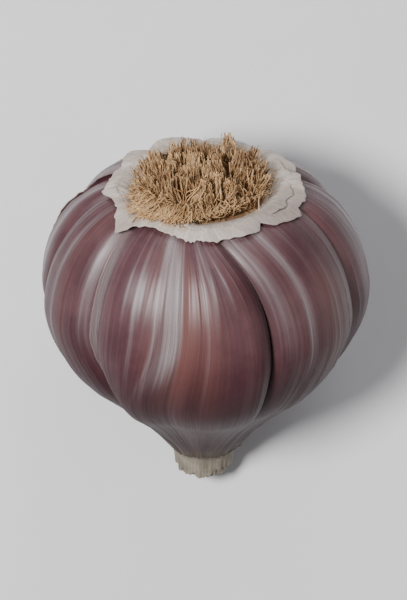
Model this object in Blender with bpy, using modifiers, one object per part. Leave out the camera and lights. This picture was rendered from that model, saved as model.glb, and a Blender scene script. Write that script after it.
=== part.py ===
"""A whole garlic bulb lying on its side, root end raised.

Every piece is first shaped in the bulb's own frame: Z runs along the bulb's axis
from the root end to the neck, Z = 0 is the widest level, and angles are measured
from the meridian that ends up on top. The assembly is then tipped over until two
cloves and the edge of the neck carry it, and small flats are cut where they rest.
"""
import math

import bmesh
import bpy
from mathutils import Vector
from mathutils import noise

MM = 0.001

# Overall sizes of the bulb.
BULB_RADIUS = 24.0 * MM
ROOT_DEPTH = 16.5 * MM
CROWN_HEIGHT = 25.6 * MM

# Fits and thicknesses.
GAP = 0.3 * MM
SKIN_LIFT = 0.42 * MM
SKIN_THICKNESS = 0.35 * MM
FLAT_DEPTH = 0.3 * MM

# Root end.
PLATE_RADIUS = 9.0 * MM
PLATE_THICKNESS = 2.6 * MM
PLATE_MARGIN = 1.0 * MM
PLATE_DOME = 0.2 * MM
TUFT_RADIUS = PLATE_RADIUS + 1.0 * MM
TUFT_HEIGHT = 4.6 * MM
TUFT_LUMP = 1.0 * MM
TUFT_WAVER = 0.07
COLLAR_RADIUS = 14.2 * MM
COLLAR_TEAR = 1.3 * MM
COLLAR_THICKNESS = 0.5 * MM

# Neck end.
NECK_WALL = 0.7 * MM
NECK_LENGTH = 4.8 * MM
NECK_SKIRT_RADIUS = 7.6 * MM
NECK_OVAL = 0.035
NECK_FLUTES = 0.02
STALK_RADIUS = 3.4 * MM
STALK_PROUD = 0.7 * MM
STALK_FOOT = 0.80 * CROWN_HEIGHT
STALK_WAIST = 0.105 * BULB_RADIUS

# Roundness of a clove's cross-section: 2 is an ellipse, higher is boxier.
CLOVE_SQUARENESS = 3.2
ROOT_END_BLUNTNESS = 7.0
TIP_BLUNTNESS = 4.0
SKIN_DIP = 0.12
SHIFT_FADE = 0.7

# Torn edges of the skin: how often they turn along an edge, and how far they wander,
# as a share of the outline at the ends and in degrees at the sides.
TEAR_BITES = 5.0
TEAR_TEETH = 17.0
END_TEAR = 0.04
SIDE_TEAR = 2.0

# Range in which the resting tilt is searched, in degrees, and the number of halvings.
TILT_RANGE = (15.0, 75.0)
TILT_HALVINGS = 60

# Mesh fineness.
CLOVE_RINGS = 15
CLOVE_SEGMENTS = 24
SKIN_ROWS = 21
SKIN_COLUMN_WIDTH = 5.5
TURN_STEPS = 40
TURN_STEPS_FINE = 60

# Cloves round the bulb: name, first angle, last angle (degrees), plumpness.
CLOVES = (
    ("clove_front_left", -44.0, -8.0, 1.000),
    ("clove_front_right", -8.0, 25.0, 1.010),
    ("clove_right_upper", 25.0, 70.0, 0.985),
    ("clove_right_side", 70.0, 110.0, 1.000),
    ("clove_right_lower", 110.0, 145.0, 0.975),
    ("clove_rest_right", 145.0, 180.0, 1.000),
    ("clove_rest_left", 180.0, 215.0, 1.000),
    ("clove_left_lower", 215.0, 245.0, 0.970),
    ("clove_left_side", 245.0, 272.0, 0.985),
    ("clove_left_upper", 272.0, 316.0, 0.990),
)

# Outer skin pieces: name, first angle, last angle, start along the outline, and
# end as a share of the way to the neck's skirt.
SKINS = (
    ("skin_front", -45.0, 22.5, 0.13, 0.92),
    ("skin_right", 28.0, 101.0, 0.13, 0.91),
    ("skin_left", -100.0, -48.5, 0.14, 0.89),
    ("skin_back_right", 110.0, 139.0, 0.15, 0.62),
    ("skin_back_left", -141.0, -112.0, 0.15, 0.66),
)

# Side outline of a clove, root end to tip: radius as a share of BULB_RADIUS, and
# height as a share of ROOT_DEPTH below the widest level or CROWN_HEIGHT above it.
OUTER_OUTLINE = (
    (0.417, -0.848),
    (0.460, -0.960),
    (0.545, -1.000),
    (0.672, -0.921),
    (0.815, -0.730),
    (0.932, -0.436),
    (0.990, -0.091),
    (0.988, 0.125),
    (0.936, 0.295),
    (0.832, 0.430),
    (0.695, 0.545),
    (0.550, 0.668),
    (0.408, 0.800),
    (0.300, 0.905),
    (0.221, 1.000),
)
INNER_OUTLINE = (
    (0.417, -0.848),
    (0.345, -0.790),
    (0.235, -0.690),
    (0.150, -0.500),
    (0.105, -0.200),
    (0.095, 0.080),
    (0.095, 0.290),
    (0.100, 0.480),
    (0.115, 0.640),
    (0.140, 0.780),
    (0.170, 0.900),
    (0.221, 1.000),
)
NECK_SIDE = 0.6
OUTLINE_STEP = 0.01
SEARCH_STEPS = 400

# Side outline of the roots above their foot: shares of TUFT_RADIUS and TUFT_HEIGHT.
TUFT_OUTLINE = (
    (0.90, 0.15),
    (0.96, 0.32),
    (1.00, 0.55),
    (0.93, 0.80),
    (0.76, 0.97),
    (0.50, 1.00),
    (0.22, 1.00),
    (0.00, 1.00),
)

# Materials: linear RGB colour and roughness.
FINISHES = {
    "clove_skin": ((0.11, 0.045, 0.052), 0.35),
    "wrapper_skin": ((0.18, 0.095, 0.107), 0.45),
    "collar_paper": ((0.51, 0.45, 0.38), 0.7),
    "root_plate": ((0.42, 0.33, 0.22), 0.8),
    "dry_roots": ((0.50, 0.34, 0.17), 0.8),
    "neck_paper": ((0.30, 0.27, 0.20), 0.7),
    "stalk": ((0.24, 0.23, 0.15), 0.75),
}


def clear_scene():
    for existing in list(bpy.data.objects):
        bpy.data.objects.remove(existing, do_unlink=True)


def make_collection(name):
    collection = bpy.data.collections.new(name)
    bpy.context.scene.collection.children.link(collection)
    return collection


def make_material(name):
    colour, roughness = FINISHES[name]
    material = bpy.data.materials.new(name)
    material.use_nodes = True
    shader = material.node_tree.nodes["Principled BSDF"]
    shader.inputs["Base Color"].default_value = (*colour, 1.0)
    shader.inputs["Roughness"].default_value = roughness
    shader.inputs["Metallic"].default_value = 0.0
    return material


def scaled_outline(outline):
    """The outline's shares turned into metres, its root end kept clear of the plate."""
    points = []
    shift = PLATE_RADIUS + PLATE_MARGIN - outline[0][0] * BULB_RADIUS
    for radius_share, height_share in outline:
        height = CROWN_HEIGHT if height_share > 0.0 else ROOT_DEPTH
        points.append(Vector((radius_share * BULB_RADIUS + shift, height_share * height)))
        shift *= SHIFT_FADE
    return points


def along(points, share):
    """A smooth curve through the points; share runs from 0 to 1."""
    place = min(max(share, 0.0), 1.0) * (len(points) - 1)
    step = min(int(place), len(points) - 2)
    t = place - step
    before = points[max(step - 1, 0)]
    start = points[step]
    end = points[step + 1]
    after = points[min(step + 2, len(points) - 1)]
    return 0.5 * (
        2.0 * start
        + (end - before) * t
        + (2.0 * before - 5.0 * start + 4.0 * end - after) * t * t
        + (3.0 * start - before - 3.0 * end + after) * t * t * t
    )


OUTER = scaled_outline(OUTER_OUTLINE)
INNER = scaled_outline(INNER_OUTLINE)


def in_bulb(radius, angle, height):
    """Radius, angle in radians from the top meridian, and height, as x, y, z."""
    return Vector((radius * math.sin(angle), radius * math.cos(angle), height))


def signed_power(value, power):
    return math.copysign(abs(value) ** power, value)


def end_taper(share):
    """Width of a clove along its length: blunt at the root end, pointed at the tip."""
    off_middle = 2.0 * share - 1.0
    bluntness = ROOT_END_BLUNTNESS if off_middle < 0.0 else TIP_BLUNTNESS
    return max(1.0 - abs(off_middle) ** bluntness, 0.0) ** (1.0 / bluntness)


def clove_point(share, turn, middle, half_width, plumpness):
    """A point of a clove: share runs along its length, turn goes round its section."""
    outside = along(OUTER, share)
    outside.x *= plumpness
    inside = along(INNER, share)
    power = 2.0 / CLOVE_SQUARENESS
    across = signed_power(math.cos(turn), power)
    outward = signed_power(math.sin(turn), power)
    section = (outside + inside) * 0.5 + (outside - inside) * 0.5 * outward
    room = half_width - 0.5 * GAP / max(section.x, 1.0 * MM)
    angle = middle + across * end_taper(share) * room
    return in_bulb(section.x, angle, section.y)


def share_at(radius):
    """How far along the neck side of the outline it has this radius."""
    step_size = (1.0 - NECK_SIDE) / SEARCH_STEPS
    shares = [NECK_SIDE + step_size * step for step in range(SEARCH_STEPS + 1)]
    return min(shares, key=lambda share: abs(along(OUTER, share).x - radius))


def add_object(name, mesh_builder, collection, parent, material):
    """An object whose mesh comes from a bmesh, smooth and facing outwards."""
    mesh = bpy.data.meshes.new(name)
    if mesh_builder.calc_volume(signed=True) < 0.0:
        bmesh.ops.reverse_faces(mesh_builder, faces=mesh_builder.faces)
    mesh_builder.to_mesh(mesh)
    mesh_builder.free()
    mesh.shade_smooth()
    mesh.materials.append(material)
    obj = bpy.data.objects.new(name, mesh)
    collection.objects.link(obj)
    obj.parent = parent
    return obj


def clove(name, first, last, plumpness, collection, parent, material):
    """One clove: a sphere whose rings are laid along the clove's curved length."""
    builder = bmesh.new()
    bmesh.ops.create_uvsphere(
        builder, u_segments=CLOVE_SEGMENTS, v_segments=CLOVE_RINGS, radius=1.0
    )
    middle = math.radians(0.5 * (first + last))
    half_width = math.radians(0.5 * (last - first))
    for vert in builder.verts:
        share = 0.5 - 0.5 * vert.co.z
        turn = math.atan2(vert.co.y, vert.co.x)
        vert.co = clove_point(share, turn, middle, half_width, plumpness)
    return add_object(name, builder, collection, parent, material)


def plumpness_at(degrees):
    """Plumpness and position within a clove (-1 to 1) at this angle."""
    first_angle = CLOVES[0][1]
    wrapped = (degrees - first_angle) % 360.0 + first_angle
    for index, (_, first, last, plumpness) in enumerate(CLOVES):
        if first <= wrapped <= last:
            across = (wrapped - first) / (last - first) * 2.0 - 1.0
            beside = CLOVES[(index + (1 if across > 0.0 else -1)) % len(CLOVES)][3]
            blend = 0.5 * across ** 4
            return plumpness + (beside - plumpness) * blend, across
    return 1.0, 0.0


def wrap_point(share, degrees, lift):
    """A point on the skin that wraps the cloves, lifted off them."""
    plumpness, across = plumpness_at(degrees)
    outside = along(OUTER, share)
    outside.x *= plumpness
    inside = along(INNER, share)
    ahead = along(OUTER, share + OUTLINE_STEP)
    behind = along(OUTER, share - OUTLINE_STEP)
    travel = (ahead - behind).normalized()
    outward = Vector((-travel.y, travel.x))
    if outward.dot(outside - inside) < 0.0:
        outward = -outward
    dip = 1.0 - SKIN_DIP * across ** 4
    section = (outside + inside) * 0.5 + (outside - inside) * 0.5 * dip
    section += outward * lift
    return in_bulb(section.x, math.radians(degrees), section.y)


def tear(place, seed, size):
    """An uneven offset along a torn edge."""
    coarse = noise.noise(Vector((place * TEAR_BITES, seed, 0.3)))
    fine = noise.noise(Vector((place * TEAR_TEETH, seed, 7.1)))
    return size * (coarse + 0.5 * fine)


def skin(name, first, last, start, end, seed, collection, parent, material):
    """A thin piece of outer skin with torn ends, following the cloves."""
    columns = max(round((last - first) / SKIN_COLUMN_WIDTH), 5)
    builder = bmesh.new()
    bmesh.ops.create_grid(builder, x_segments=columns, y_segments=SKIN_ROWS, size=1.0)
    for vert in builder.verts:
        across = 0.5 + 0.5 * vert.co.x
        down = 0.5 + 0.5 * vert.co.y
        bottom = end * share_at(NECK_SKIRT_RADIUS) + tear(across, seed, END_TEAR)
        share = start + (bottom - start) * down
        left = first + tear(down, seed + 3.0, SIDE_TEAR)
        right = last + tear(down, seed + 6.0, SIDE_TEAR)
        vert.co = wrap_point(share, left + (right - left) * across, SKIN_LIFT)
    obj = add_object(name, builder, collection, parent, material)
    solidify = obj.modifiers.new("thickness", "SOLIDIFY")
    solidify.thickness = SKIN_THICKNESS
    solidify.offset = 1.0
    return obj


def turned(name, outline, steps, collection, parent, material, ripple=None):
    """A solid of revolution about the bulb's axis from (radius, height) points."""
    builder = bmesh.new()
    rings = []
    for radius, height in outline:
        if radius < 0.01 * MM:
            rings.append([builder.verts.new((0.0, 0.0, height))])
            continue
        ring = []
        for step in range(steps):
            angle = 2.0 * math.pi * step / steps
            r, z = ripple(radius, height, angle) if ripple else (radius, height)
            ring.append(builder.verts.new(in_bulb(r, angle, z)))
        rings.append(ring)
    closed = len(rings[0]) > 1
    pairs = list(zip(rings, rings[1:]))
    if closed:
        pairs.append((rings[-1], rings[0]))
    for one, other in pairs:
        for step in range(steps):
            following = (step + 1) % steps
            corners = [one[step % len(one)], one[following % len(one)]]
            corners += [other[following % len(other)], other[step % len(other)]]
            unique = list(dict.fromkeys(corners))
            builder.faces.new(unique)
    return add_object(name, builder, collection, parent, material)


def root_plate(collection, parent, material):
    """The woody disc that the roots grow from, coned on its inner side."""
    face = -ROOT_DEPTH - GAP
    back = face + PLATE_THICKNESS
    radius = PLATE_RADIUS
    outline = (
        (0.0, face - PLATE_DOME),
        (0.45 * radius, face - 0.75 * PLATE_DOME),
        (0.9 * radius, face),
        (radius, face + 0.25 * PLATE_THICKNESS),
        (0.9 * radius, face + 0.6 * PLATE_THICKNESS),
        (0.6 * radius, back),
        (0.0, back + 2.5 * PLATE_DOME),
    )
    return turned("root_plate", outline, TURN_STEPS, collection, parent, material)


def tuft_ripple(radius, height, angle):
    """Uneven clumps round and across the trimmed roots."""
    spot = Vector((math.sin(angle), math.cos(angle), height / TUFT_HEIGHT))
    lump = noise.noise(spot * 2.2)
    depth = -height - ROOT_DEPTH
    raised = min(max((depth - 4.0 * GAP) / TUFT_HEIGHT, 0.0), 1.0)
    off_axis = min(radius / (0.4 * TUFT_RADIUS), 1.0)
    rise = TUFT_LUMP * lump * raised * off_axis
    return radius * (1.0 + TUFT_WAVER * lump * raised), height + rise


def root_tuft(collection, parent, material):
    """The pad of trimmed roots standing on the plate."""
    base = -ROOT_DEPTH - 2.0 * GAP - PLATE_DOME
    outline = [(share * PLATE_RADIUS, base) for share in (0.0, 0.6, 1.0)]
    for radius_share, height_share in TUFT_OUTLINE:
        outline.append((radius_share * TUFT_RADIUS, base - height_share * TUFT_HEIGHT))
    return turned("root_tuft", outline, TURN_STEPS, collection, parent, material, tuft_ripple)


def collar_ripple(radius, height, angle):
    """The collar's outer edge is torn and droops at its longer corners."""
    free = (radius - PLATE_RADIUS) / (COLLAR_RADIUS - PLATE_RADIUS)
    free = max(free, 0.0) ** 2
    spot = Vector((math.sin(angle), math.cos(angle), 0.4))
    length = noise.noise(spot * 2.1) + 0.6 * noise.noise(spot * 7.3)
    reach = COLLAR_TEAR * length * free
    return radius + reach, height + 0.16 * max(reach, 0.0) - 0.1 * COLLAR_TEAR * free


def collar(collection, parent, material):
    """The ragged papery collar round the root plate, lying on the shoulders."""
    low = -ROOT_DEPTH - 1.2 * GAP
    over = -ROOT_DEPTH - SKIN_LIFT - SKIN_THICKNESS - 0.6 * GAP
    inner = PLATE_RADIUS + GAP
    span = COLLAR_RADIUS - inner
    thick = COLLAR_THICKNESS
    outline = (
        (inner, low),
        (inner + 0.35 * span, 0.5 * (low + over)),
        (inner + 0.7 * span, over),
        (COLLAR_RADIUS, over + 0.2 * thick),
        (COLLAR_RADIUS, over - 0.5 * thick),
        (inner + 0.7 * span, over - thick),
        (inner + 0.35 * span, 0.5 * (low + over) - thick),
        (inner, low - thick),
    )
    return turned("collar", outline, TURN_STEPS_FINE, collection, parent, material, collar_ripple)


def neck_ripple(radius, height, angle):
    """Dried layers leave the neck slightly out of round."""
    out = NECK_OVAL * math.sin(3.0 * angle + 0.6) + NECK_FLUTES * math.sin(7.0 * angle)
    return radius * (1.0 + out), height


def neck_stalk(collection, parent, material):
    """The cut stalk standing inside the neck's dried sheath."""
    tip = CROWN_HEIGHT + NECK_LENGTH + STALK_PROUD
    outline = (
        (0.0, STALK_FOOT),
        (0.8 * STALK_WAIST, STALK_FOOT),
        (STALK_WAIST, STALK_FOOT + 1.5 * MM),
        (STALK_RADIUS * 0.9, CROWN_HEIGHT - 0.2 * MM),
        (STALK_RADIUS, CROWN_HEIGHT + 1.5 * MM),
        (STALK_RADIUS, tip - 0.4 * MM),
        (STALK_RADIUS * 0.85, tip),
        (0.0, tip - 0.3 * MM),
    )
    return turned("neck_stalk", outline, TURN_STEPS, collection, parent, material)


def neck_sheath(collection, parent, material):
    """The dried sheath round the stalk, flaring over the clove tips."""
    tip = CROWN_HEIGHT + NECK_LENGTH
    bore = STALK_RADIUS + 1.3 * GAP
    neck = bore + NECK_WALL
    skirt = along(OUTER, share_at(NECK_SKIRT_RADIUS)).y + 2.2 * GAP
    outline = (
        (NECK_SKIRT_RADIUS, skirt),
        (0.5 * (NECK_SKIRT_RADIUS + bore), CROWN_HEIGHT + 0.45 * MM),
        (bore, CROWN_HEIGHT + 1.1 * MM),
        (bore, tip - 0.2 * MM),
        (neck - 0.2 * NECK_WALL, tip),
        (neck, tip - 0.5 * MM),
        (neck, CROWN_HEIGHT + 2.4 * MM),
        (0.5 * (NECK_SKIRT_RADIUS + neck), CROWN_HEIGHT + 1.0 * MM),
        (NECK_SKIRT_RADIUS, skirt + SKIN_THICKNESS),
    )
    return turned("neck_sheath", outline, TURN_STEPS, collection, parent, material)


def lowest(objects, tilt):
    """Lowest point of these objects once the root end is raised by this angle."""
    return min(
        vert.co.y * math.cos(tilt) - vert.co.z * math.sin(tilt)
        for obj in objects
        for vert in obj.data.vertices
    )


def rest_tilt(cloves, neck):
    """The angle at which the cloves and the neck touch the ground together."""
    low, high = (math.radians(limit) for limit in TILT_RANGE)
    for _ in range(TILT_HALVINGS):
        middle = 0.5 * (low + high)
        if lowest(cloves, middle) < lowest(neck, middle):
            low = middle
        else:
            high = middle
    return 0.5 * (low + high)


def cut_flats(objects, collection):
    """Cuts the small flats that the bulb rests on, at ground level."""
    builder = bmesh.new()
    bmesh.ops.create_cube(builder, size=1.0)
    side = 8.0 * BULB_RADIUS
    for vert in builder.verts:
        vert.co = Vector((vert.co.x * side, vert.co.y * side, (vert.co.z - 0.5) * BULB_RADIUS))
    ground = add_object("ground_cutter", builder, collection, None, None)
    ground.hide_render = True
    ground.display_type = "WIRE"
    for obj in objects:
        boolean = obj.modifiers.new("rest_flat", "BOOLEAN")
        boolean.operation = "DIFFERENCE"
        boolean.solver = "EXACT"
        boolean.object = ground


def centre_over_origin(bulb, objects):
    """Moves the assembly so that the middle of its box is over the origin."""
    bpy.context.view_layer.update()
    corners = [obj.matrix_world @ vert.co for obj in objects for vert in obj.data.vertices]
    for axis in (0, 1):
        values = [corner[axis] for corner in corners]
        bulb.location[axis] -= 0.5 * (min(values) + max(values))


def build():
    clear_scene()
    garlic = make_collection("garlic_bulb")
    cutters = make_collection("cutters")
    cutters.hide_render = True
    bulb = bpy.data.objects.new("bulb_frame", None)
    garlic.objects.link(bulb)

    flesh = make_material("clove_skin")
    cloves = {}
    for name, first, last, plumpness in CLOVES:
        cloves[name] = clove(name, first, last, plumpness, garlic, bulb, flesh)

    paper = make_material("wrapper_skin")
    for number, (name, first, last, start, end) in enumerate(SKINS):
        skin(name, first, last, start, end, 11.0 + 10.0 * number, garlic, bulb, paper)

    root_plate(garlic, bulb, make_material("root_plate"))
    root_tuft(garlic, bulb, make_material("dry_roots"))
    collar(garlic, bulb, make_material("collar_paper"))
    neck_stalk(garlic, bulb, make_material("stalk"))
    neck = neck_sheath(garlic, bulb, make_material("neck_paper"))

    resting = [cloves["clove_rest_right"], cloves["clove_rest_left"]]
    tilt = rest_tilt(resting, [neck])
    bulb.rotation_euler = (0.5 * math.pi + tilt, 0.0, 0.0)
    bulb.location = (0.0, 0.0, -lowest(resting, tilt) - FLAT_DEPTH)
    centre_over_origin(bulb, [obj for obj in garlic.objects if obj.type == "MESH"])
    cut_flats(resting + [neck], cutters)


build()
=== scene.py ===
"""Looks of a purple-striped garlic bulb lying on its side.

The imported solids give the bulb's place and tilt. The root plate keeps its solid; every
other one is replaced by finer pieces: cloves, wrapper skin, collar, roots and neck.
Places on the bulb are given by two measures: "around", the angle in degrees from the
meridian that faces up, and "along", the share of the way from root end to neck.
"""

import math

import bpy
import numpy as np
from mathutils import Matrix, Vector


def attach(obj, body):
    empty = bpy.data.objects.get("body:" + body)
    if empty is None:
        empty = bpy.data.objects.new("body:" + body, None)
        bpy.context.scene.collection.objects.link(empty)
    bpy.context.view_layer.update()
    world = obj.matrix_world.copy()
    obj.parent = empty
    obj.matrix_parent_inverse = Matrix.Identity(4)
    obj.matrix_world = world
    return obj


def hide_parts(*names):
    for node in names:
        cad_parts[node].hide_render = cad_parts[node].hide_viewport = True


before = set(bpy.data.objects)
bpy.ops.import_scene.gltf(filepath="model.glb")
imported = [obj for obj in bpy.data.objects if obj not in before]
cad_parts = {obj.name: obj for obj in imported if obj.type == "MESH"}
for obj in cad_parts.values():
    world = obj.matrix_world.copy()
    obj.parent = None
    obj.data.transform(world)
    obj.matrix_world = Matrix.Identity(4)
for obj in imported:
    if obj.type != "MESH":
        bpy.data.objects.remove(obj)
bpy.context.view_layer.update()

MM = 0.001

# ---------------------------------------------------------------- sizes of the bulb
BULB_RADIUS = 24.0 * MM
ROOT_DEPTH = 16.5 * MM
CROWN_HEIGHT = 25.6 * MM
PLATE_FACE = 17.0 * MM
PLATE_RADIUS = 9.0 * MM
PLATE_MARGIN = 1.0 * MM
SHIFT_FADE = 0.7
STALK_RADIUS = 3.4 * MM
CLOVE_GAP = 0.3 * MM
CLOVE_SQUARENESS = 2.5
ROOT_END_BLUNTNESS = 7.0
TIP_BLUNTNESS = 4.0
SKIN_SHEET = 0.10 * MM
COLLAR_SHEET = 0.12 * MM
NECK_SHEET = 0.14 * MM
ROOT_BED_SHEET = 0.3 * MM

# How far each kind of piece stays above the ground where it rests.
CLOVE_REST = 0.02 * MM
STALK_REST = 0.05 * MM
SKIN_REST = 0.10 * MM
NECK_REST = 0.16 * MM

OUTER_OUTLINE = (
    (0.417, -0.848), (0.460, -0.960), (0.545, -1.000), (0.672, -0.921), (0.815, -0.730),
    (0.932, -0.436), (0.990, -0.091), (0.988, 0.125), (0.936, 0.295), (0.832, 0.430),
    (0.695, 0.545), (0.550, 0.668), (0.408, 0.800), (0.300, 0.905), (0.221, 1.000),
)
INNER_OUTLINE = (
    (0.417, -0.848), (0.345, -0.790), (0.235, -0.690), (0.150, -0.500), (0.105, -0.200),
    (0.095, 0.080), (0.095, 0.290), (0.100, 0.480), (0.115, 0.640), (0.140, 0.780),
    (0.170, 0.900), (0.221, 1.000),
)

# Cloves: node, first angle, last angle, plumpness and slimming towards the neck, then the
# crease at the first angle: its depth (0 to 1) and how sharply the skin turns into it
# from the clove before and from this clove.
CLOVES = (
    ("clove_front_left", -44.0, -8.0, 1.000, 0.020, 0.42, 5.0, 9.0),
    ("clove_front_right", -8.0, 25.0, 1.010, 0.020, 0.06, 4.0, 4.0),
    ("clove_right_upper", 25.0, 70.0, 0.985, 0.062, 0.14, 10.0, 8.0),
    ("clove_right_side", 70.0, 110.0, 1.000, 0.066, 0.09, 4.0, 4.0),
    ("clove_right_lower", 110.0, 145.0, 0.975, 0.030, 0.34, 6.0, 6.0),
    ("clove_rest_right", 145.0, 180.0, 1.000, 0.000, 0.42, 6.0, 6.0),
    ("clove_rest_left", 180.0, 215.0, 1.000, 0.000, 0.50, 7.0, 7.0),
    ("clove_left_lower", 215.0, 245.0, 0.970, 0.020, 0.40, 6.0, 6.0),
    ("clove_left_side", 245.0, 272.0, 0.985, 0.040, 0.34, 6.0, 6.0),
    ("clove_left_upper", 272.0, 316.0, 0.990, 0.052, 0.28, 5.0, 7.0),
)
ROUNDING = 0.16
FIRST_ANGLE = CLOVES[0][1]
NOISE_CELLS = 64
OUTLINE_STEP = 0.01


# ---------------------------------------------------------------- small numeric tools
def smoothstep(low, high, value):
    t = np.clip((value - low) / (high - low), 0.0, 1.0)
    return t * t * (3.0 - 2.0 * t)


def bump_curve(value, centre, width):
    """A soft bell: 1 at the centre, falling away over the width."""
    return np.exp(-(((value - centre) / width) ** 2))


def smooth_noise(x, y, seed):
    """Smooth random values from -1 to 1 over two coordinates."""
    lattice = np.random.RandomState(seed).uniform(-1.0, 1.0, (NOISE_CELLS, NOISE_CELLS))
    x, y = np.broadcast_arrays(np.asarray(x, float), np.asarray(y, float))
    cell_x, cell_y = np.floor(x).astype(int), np.floor(y).astype(int)
    t, s = x - cell_x, y - cell_y
    t, s = t * t * (3.0 - 2.0 * t), s * s * (3.0 - 2.0 * s)
    at = lambda i, j: lattice[(cell_x + i) % NOISE_CELLS, (cell_y + j) % NOISE_CELLS]
    near = at(0, 0) * (1.0 - t) + at(1, 0) * t
    far = at(0, 1) * (1.0 - t) + at(1, 1) * t
    return near * (1.0 - s) + far * s


def layered_noise(x, y, seed, layers=3):
    total, weight, scale = 0.0, 0.0, 1.0
    for layer in range(layers):
        total = total + smooth_noise(x * scale, y * scale, seed + layer) / scale
        weight += 1.0 / scale
        scale *= 2.1
    return total / weight


def scaled_outline(outline):
    """The outline's shares turned into metres, its root end kept clear of the plate."""
    points = []
    shift = PLATE_RADIUS + PLATE_MARGIN - outline[0][0] * BULB_RADIUS
    for radius_share, height_share in outline:
        height = CROWN_HEIGHT if height_share > 0.0 else ROOT_DEPTH
        points.append((radius_share * BULB_RADIUS + shift, height_share * height))
        shift *= SHIFT_FADE
    return np.array(points)


def follow(points, share):
    """A smooth curve through the points, as (radius, height) arrays."""
    place = np.clip(share, 0.0, 1.0) * (len(points) - 1)
    step = np.minimum(place.astype(int), len(points) - 2)
    t = (place - step)[..., None]
    before = points[np.maximum(step - 1, 0)]
    start, end = points[step], points[step + 1]
    after = points[np.minimum(step + 2, len(points) - 1)]
    result = 0.5 * (
        2.0 * start
        + (end - before) * t
        + (2.0 * before - 5.0 * start + 4.0 * end - after) * t * t
        + (3.0 * start - before - 3.0 * end + after) * t ** 3
    )
    return result[..., 0], result[..., 1]


OUTER = scaled_outline(OUTER_OUTLINE)
INNER = scaled_outline(INNER_OUTLINE)


# ---------------------------------------------------------------- the bulb's own frame
def node_points(name):
    """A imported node's mesh points as an array."""
    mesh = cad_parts[name].data
    places = np.empty(len(mesh.vertices) * 3)
    mesh.vertices.foreach_get("co", places)
    return places.reshape(-1, 3)


def bulb_frame():
    """A matrix that takes the bulb's own frame to the world."""
    plate, stalk = node_points("root_plate"), node_points("neck_stalk")
    to_neck = Vector(stalk.mean(axis=0)) - Vector(plate.mean(axis=0))
    to_neck.x = 0.0
    to_neck.normalize()
    across = Vector((1.0, 0.0, 0.0))
    upper = to_neck.cross(across)
    lowest = float((plate @ np.array(to_neck)).min())
    middle = Vector(plate.mean(axis=0))
    origin = middle + to_neck * (lowest + PLATE_FACE - middle.dot(to_neck))
    rotation = Matrix((across, upper, to_neck)).transposed().to_4x4()
    return Matrix.Translation(origin) @ rotation


BULB = bulb_frame()
BULB_ARRAY = np.array(BULB)


def to_world(x, y, z):
    """Bulb-frame coordinates as an array of world points."""
    x, y, z = np.broadcast_arrays(x, y, z)
    local = np.stack([x, y, z, np.ones_like(x)], axis=-1)
    return (local @ BULB_ARRAY.T)[..., :3]


def full_turn(columns):
    return np.linspace(-180.0, 180.0, columns, endpoint=False)


def on_circle(radius, around):
    angle = np.radians(around)
    return radius * np.sin(angle), radius * np.cos(angle)


def around_axis(radius, around, height):
    return to_world(*on_circle(radius, around), height)


def above_ground(points, clearance):
    points[..., 2] = np.maximum(points[..., 2], clearance)
    return points


def lean(around, along):
    """How far creases lean sideways: the deep one starts well over and straightens."""
    deep = -19.0 * bump_curve(along, 0.13, 0.15) * bump_curve(around, 25.0, 24.0)
    lower = -7.0 * smoothstep(0.36, 0.60, along) * bump_curve(around, -14.0, 17.0)
    narrowing = 9.0 * smoothstep(0.42, 0.62, along) * bump_curve(around, -46.0, 12.0)
    wander = 1.3 * smooth_noise(around / 31.0 + 9.0, along * 3.1, 5)
    return deep + lower + narrowing + wander


CREASE_ANGLES = np.array([clove[1] for clove in CLOVES] + [CLOVES[-1][2]])
PLUMPNESS = np.array([clove[3] for clove in CLOVES])
SLIMMING = np.array([clove[4] for clove in CLOVES])
CREASE_DEPTHS = np.array([clove[5] for clove in CLOVES])
SHARP_BEFORE = np.array([clove[6] for clove in CLOVES])
SHARP_AFTER = np.array([clove[7] for clove in CLOVES])


def which_clove(around):
    """For each angle, the clove's number and the place across it, -1 to 1."""
    wrapped = (around - FIRST_ANGLE) % 360.0 + FIRST_ANGLE
    number = np.clip(np.searchsorted(CREASE_ANGLES, wrapped, "right") - 1, 0, len(CLOVES) - 1)
    first, last = CREASE_ANGLES[number], CREASE_ANGLES[number + 1]
    return number, (wrapped - first) / (last - first) * 2.0 - 1.0


def blended(values, number, across):
    """A clove's value, easing to its neighbour's at the crease."""
    beside = (number + np.where(across > 0.0, 1, -1)) % len(CLOVES)
    return values[number] + (values[beside] - values[number]) * 0.5 * across ** 4


def waist(along):
    """1 where the neck side is slimmest."""
    return smoothstep(0.42, 0.60, along) * (1.0 - smoothstep(0.80, 0.97, along))


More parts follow.
